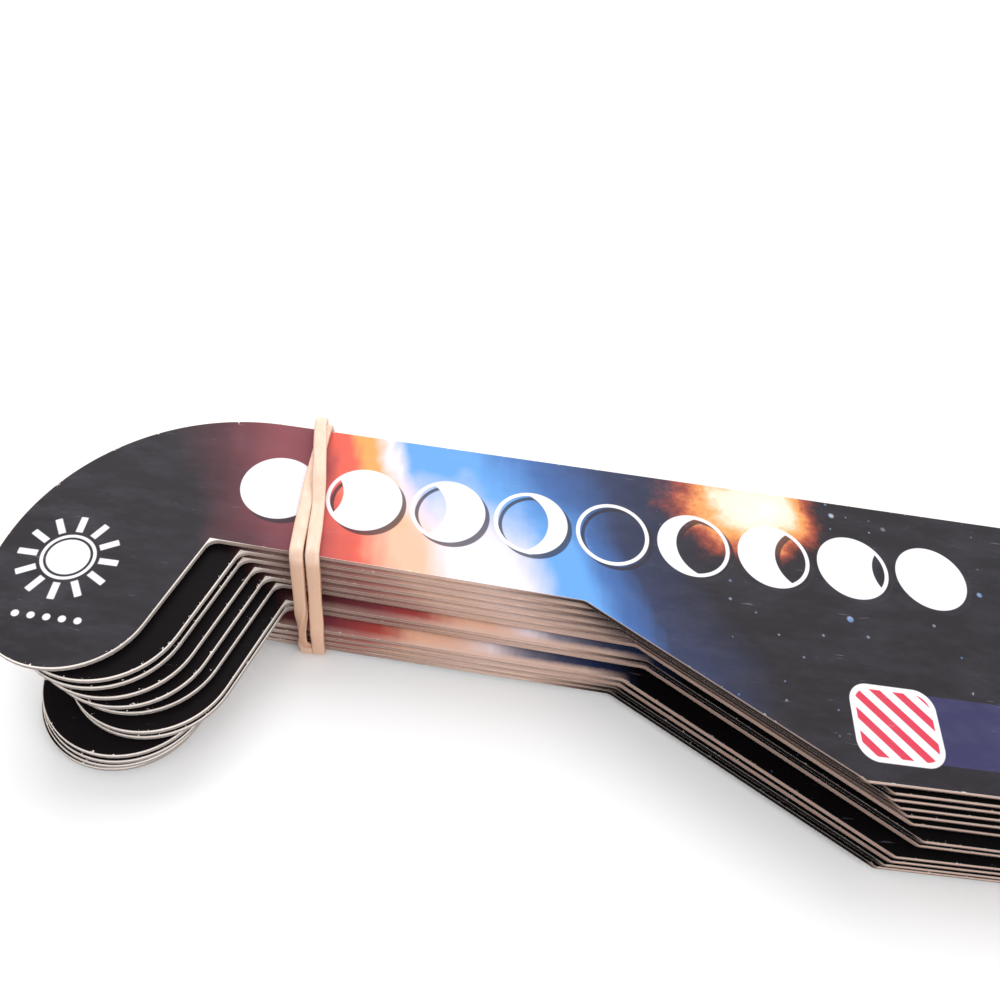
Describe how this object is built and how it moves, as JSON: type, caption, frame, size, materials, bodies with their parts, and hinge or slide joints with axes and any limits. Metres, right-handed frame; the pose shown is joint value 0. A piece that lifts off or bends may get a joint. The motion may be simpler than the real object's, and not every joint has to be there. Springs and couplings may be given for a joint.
{
  "type": "eclipse glasses",
  "caption": "Banded bundle of card eclipse glasses laid open and flat, with printed card fronts, dark filter lenses, creased temples with ear hooks, and a rubber band round one end.",
  "frame": {"origin": "middle of the bundle's footprint, on the surface that it lies on", "axes": "+X from the left ear hook to the right one along the glasses, +Y towards the brow edge, +Z out of the printed side"},
  "size_m": [0.4236, 0.0528, 0.0149],
  "materials": {
    "printed_card": "satin",
    "liner_card": "matte",
    "filter_film": "gloss",
    "rubber": "matte"
  },
  "bodies": {
    "bundle": {"rubber_band": "rubber", "pair_01_left_temple": "printed_card", "pair_02_left_temple": "printed_card", "pair_03_left_temple": "printed_card", "pair_04_left_temple": "printed_card", "pair_05_left_temple": "printed_card", "pair_06_left_temple": "printed_card", "pair_07_left_temple": "printed_card", "pair_08_left_temple": "printed_card", "pair_09_left_temple": "printed_card", "pair_10_left_temple": "printed_card", "pair_11_left_temple": "printed_card", "pair_12_left_temple": "printed_card"},
    "pair_01_front": {"pair_01_front_board": "printed_card", "pair_01_front_liner": "liner_card", "pair_01_left_film": "filter_film", "pair_01_right_film": "filter_film"},
    "pair_01_right_temple": {"pair_01_right_temple": "printed_card"},
    "pair_02_front": {"pair_02_front_plies": "printed_card", "pair_02_lens_films": "filter_film"},
    "pair_02_right_temple": {"pair_02_right_temple": "printed_card"},
    "pair_03_front": {"pair_03_front_plies": "printed_card", "pair_03_lens_films": "filter_film"},
    "pair_03_right_temple": {"pair_03_right_temple": "printed_card"},
    "pair_04_front": {"pair_04_front_plies": "printed_card", "pair_04_lens_films": "filter_film"},
    "pair_04_right_temple": {"pair_04_right_temple": "printed_card"},
    "pair_05_front": {"pair_05_front_plies": "printed_card", "pair_05_lens_films": "filter_film"},
    "pair_05_right_temple": {"pair_05_right_temple": "printed_card"},
    "pair_06_front": {"pair_06_front_plies": "printed_card", "pair_06_lens_films": "filter_film"},
    "pair_06_right_temple": {"pair_06_right_temple": "printed_card"},
    "pair_07_front": {"pair_07_front_plies": "printed_card", "pair_07_lens_films": "filter_film"},
    "pair_07_right_temple": {"pair_07_right_temple": "printed_card"},
    "pair_08_front": {"pair_08_front_plies": "printed_card", "pair_08_lens_films": "filter_film"},
    "pair_08_right_temple": {"pair_08_right_temple": "printed_card"},
    "pair_09_front": {"pair_09_front_plies": "printed_card", "pair_09_lens_films": "filter_film"},
    "pair_09_right_temple": {"pair_09_right_temple": "printed_card"},
    "pair_10_front": {"pair_10_front_plies": "printed_card", "pair_10_lens_films": "filter_film"},
    "pair_10_right_temple": {"pair_10_right_temple": "printed_card"},
    "pair_11_front": {"pair_11_front_plies": "printed_card", "pair_11_lens_films": "filter_film"},
    "pair_11_right_temple": {"pair_11_right_temple": "printed_card"},
    "pair_12_front": {"pair_12_front_board": "printed_card", "pair_12_front_liner": "liner_card", "pair_12_left_film": "filter_film", "pair_12_right_film": "filter_film"},
    "pair_12_right_temple": {"pair_12_right_temple": "printed_card"}
  },
  "joints": [
    {"name": "pair_01_front_lift", "type": "hinge", "parent": "bundle", "child": "pair_01_front", "pos_m": [-0.07918, 0.02413, 0.01265], "axis": [0, -1, 0], "range_deg": [0, 60]},
    {"name": "pair_01_right_temple_lift", "type": "hinge", "parent": "pair_01_front", "child": "pair_01_right_temple", "pos_m": [0.07082, 0.02413, 0.01265], "axis": [0, -1, 0], "range_deg": [0, 60]},
    {"name": "pair_02_front_lift", "type": "hinge", "parent": "bundle", "child": "pair_02_front", "pos_m": [-0.07595, 0.02359, 0.01165], "axis": [-0.0018, -1, 0], "range_deg": [0, 54]},
    {"name": "pair_02_right_temple_lift", "type": "hinge", "parent": "pair_02_front", "child": "pair_02_right_temple", "pos_m": [0.07405, 0.02332, 0.01165], "axis": [-0.0018, -1, 0], "range_deg": [0, 54]},
    {"name": "pair_03_front_lift", "type": "hinge", "parent": "bundle", "child": "pair_03_front", "pos_m": [-0.0757, 0.02332, 0.01065], "axis": [-0.0019, -1, 0], "range_deg": [0, 48]},
    {"name": "pair_03_right_temple_lift", "type": "hinge", "parent": "pair_03_front", "child": "pair_03_right_temple", "pos_m": [0.0743, 0.02302, 0.01065], "axis": [-0.0019, -1, 0], "range_deg": [0, 48]},
    {"name": "pair_04_front_lift", "type": "hinge", "parent": "bundle", "child": "pair_04_front", "pos_m": [-0.07442, 0.02294, 0.00965], "axis": [-0.0018, -1, 0], "range_deg": [0, 42]},
    {"name": "pair_04_right_temple_lift", "type": "hinge", "parent": "pair_04_front", "child": "pair_04_right_temple", "pos_m": [0.07558, 0.02267, 0.00965], "axis": [-0.0018, -1, 0], "range_deg": [0, 42]},
    {"name": "pair_05_front_lift", "type": "hinge", "parent": "bundle", "child": "pair_05_front", "pos_m": [-0.07323, 0.02259, 0.00865], "axis": [-0.0018, -1, 0], "range_deg": [0, 36]},
    {"name": "pair_05_right_temple_lift", "type": "hinge", "parent": "pair_05_front", "child": "pair_05_right_temple", "pos_m": [0.07677, 0.02232, 0.00865], "axis": [-0.0018, -1, 0], "range_deg": [0, 36]},
    {"name": "pair_06_front_lift", "type": "hinge", "parent": "bundle", "child": "pair_06_front", "pos_m": [-0.07204, 0.02198, 0.00765], "axis": [-0.0063, -1, 0], "range_deg": [0, 30]},
    {"name": "pair_06_right_temple_lift", "type": "hinge", "parent": "pair_06_front", "child": "pair_06_right_temple", "pos_m": [0.07795, 0.02104, 0.00765], "axis": [-0.0063, -1, 0], "range_deg": [0, 30]},
    {"name": "pair_07_front_lift", "type": "hinge", "parent": "bundle", "child": "pair_07_front", "pos_m": [-0.07077, 0.0207, 0.00665], "axis": [-0.0052, -1, 0], "range_deg": [0, 23.5]},
    {"name": "pair_07_right_temple_lift", "type": "hinge", "parent": "pair_07_front", "child": "pair_07_right_temple", "pos_m": [0.07923, 0.01992, 0.00665], "axis": [-0.0052, -1, 0], "range_deg": [0, 23.5]},
    {"name": "pair_08_front_lift", "type": "hinge", "parent": "bundle", "child": "pair_08_front", "pos_m": [-0.07068, 0.02058, 0.00565], "axis": [-0.0054, -1, 0], "range_deg": [0, 16.8]},
    {"name": "pair_08_right_temple_lift", "type": "hinge", "parent": "pair_08_front", "child": "pair_08_right_temple", "pos_m": [0.07931, 0.01977, 0.00565], "axis": [-0.0054, -1, 0], "range_deg": [0, 16.8]},
    {"name": "pair_09_front_lift", "type": "hinge", "parent": "bundle", "child": "pair_09_front", "pos_m": [-0.07323, 0.01984, 0.00465], "axis": [0.0036, -1, 0], "range_deg": [0, 7.2]},
    {"name": "pair_09_right_temple_lift", "type": "hinge", "parent": "pair_09_front", "child": "pair_09_right_temple", "pos_m": [0.07677, 0.02039, 0.00465], "axis": [0.0036, -1, 0], "range_deg": [0, 7.2]},
    {"name": "pair_10_front_lift", "type": "hinge", "parent": "bundle", "child": "pair_10_front", "pos_m": [-0.07332, 0.01971, 0.00365], "axis": [0.0042, -1, 0], "range_deg": [0, 5.4]},
    {"name": "pair_10_right_temple_lift", "type": "hinge", "parent": "pair_10_front", "child": "pair_10_right_temple", "pos_m": [0.07668, 0.02034, 0.00365], "axis": [0.0042, -1, 0], "range_deg": [0, 5.4]},
    {"name": "pair_11_front_lift", "type": "hinge", "parent": "bundle", "child": "pair_11_front", "pos_m": [-0.07357, 0.01957, 0.00265], "axis": [0.0038, -1, 0], "range_deg": [0, 3.6]},
    {"name": "pair_11_right_temple_lift", "type": "hinge", "parent": "pair_11_front", "child": "pair_11_right_temple", "pos_m": [0.07643, 0.02014, 0.00265], "axis": [0.0038, -1, 0], "range_deg": [0, 3.6]},
    {"name": "pair_12_front_lift", "type": "hinge", "parent": "bundle", "child": "pair_12_front", "pos_m": [-0.074, 0.01956, 0.00165], "axis": [0.0038, -1, 0], "range_deg": [0, 1.8]},
    {"name": "pair_12_right_temple_lift", "type": "hinge", "parent": "pair_12_front", "child": "pair_12_right_temple", "pos_m": [0.076, 0.02012, 0.00165], "axis": [0.0038, -1, 0], "range_deg": [0, 1.8]}
  ],
  "couplings": [
    {"joint": "pair_02_front_lift", "follows": "pair_01_front_lift", "ratio": 0.9},
    {"joint": "pair_02_right_temple_lift", "follows": "pair_01_right_temple_lift", "ratio": 0.9},
    {"joint": "pair_03_front_lift", "follows": "pair_01_front_lift", "ratio": 0.8},
    {"joint": "pair_03_right_temple_lift", "follows": "pair_01_right_temple_lift", "ratio": 0.8},
    {"joint": "pair_04_front_lift", "follows": "pair_01_front_lift", "ratio": 0.7},
    {"joint": "pair_04_right_temple_lift", "follows": "pair_01_right_temple_lift", "ratio": 0.7},
    {"joint": "pair_05_front_lift", "follows": "pair_01_front_lift", "ratio": 0.6},
    {"joint": "pair_05_right_temple_lift", "follows": "pair_01_right_temple_lift", "ratio": 0.6},
    {"joint": "pair_06_front_lift", "follows": "pair_01_front_lift", "ratio": 0.5},
    {"joint": "pair_06_right_temple_lift", "follows": "pair_01_right_temple_lift", "ratio": 0.5},
    {"joint": "pair_07_front_lift", "follows": "pair_01_front_lift", "ratio": 0.39},
    {"joint": "pair_07_right_temple_lift", "follows": "pair_01_right_temple_lift", "ratio": 0.39},
    {"joint": "pair_08_front_lift", "follows": "pair_01_front_lift", "ratio": 0.28},
    {"joint": "pair_08_right_temple_lift", "follows": "pair_01_right_temple_lift", "ratio": 0.28},
    {"joint": "pair_09_front_lift", "follows": "pair_01_front_lift", "ratio": 0.12},
    {"joint": "pair_09_right_temple_lift", "follows": "pair_01_right_temple_lift", "ratio": 0.12},
    {"joint": "pair_10_front_lift", "follows": "pair_01_front_lift", "ratio": 0.09},
    {"joint": "pair_10_right_temple_lift", "follows": "pair_01_right_temple_lift", "ratio": 0.09},
    {"joint": "pair_11_front_lift", "follows": "pair_01_front_lift", "ratio": 0.06},
    {"joint": "pair_11_right_temple_lift", "follows": "pair_01_right_temple_lift", "ratio": 0.06},
    {"joint": "pair_12_front_lift", "follows": "pair_01_front_lift", "ratio": 0.03},
    {"joint": "pair_12_right_temple_lift", "follows": "pair_01_right_temple_lift", "ratio": 0.03}
  ]
}
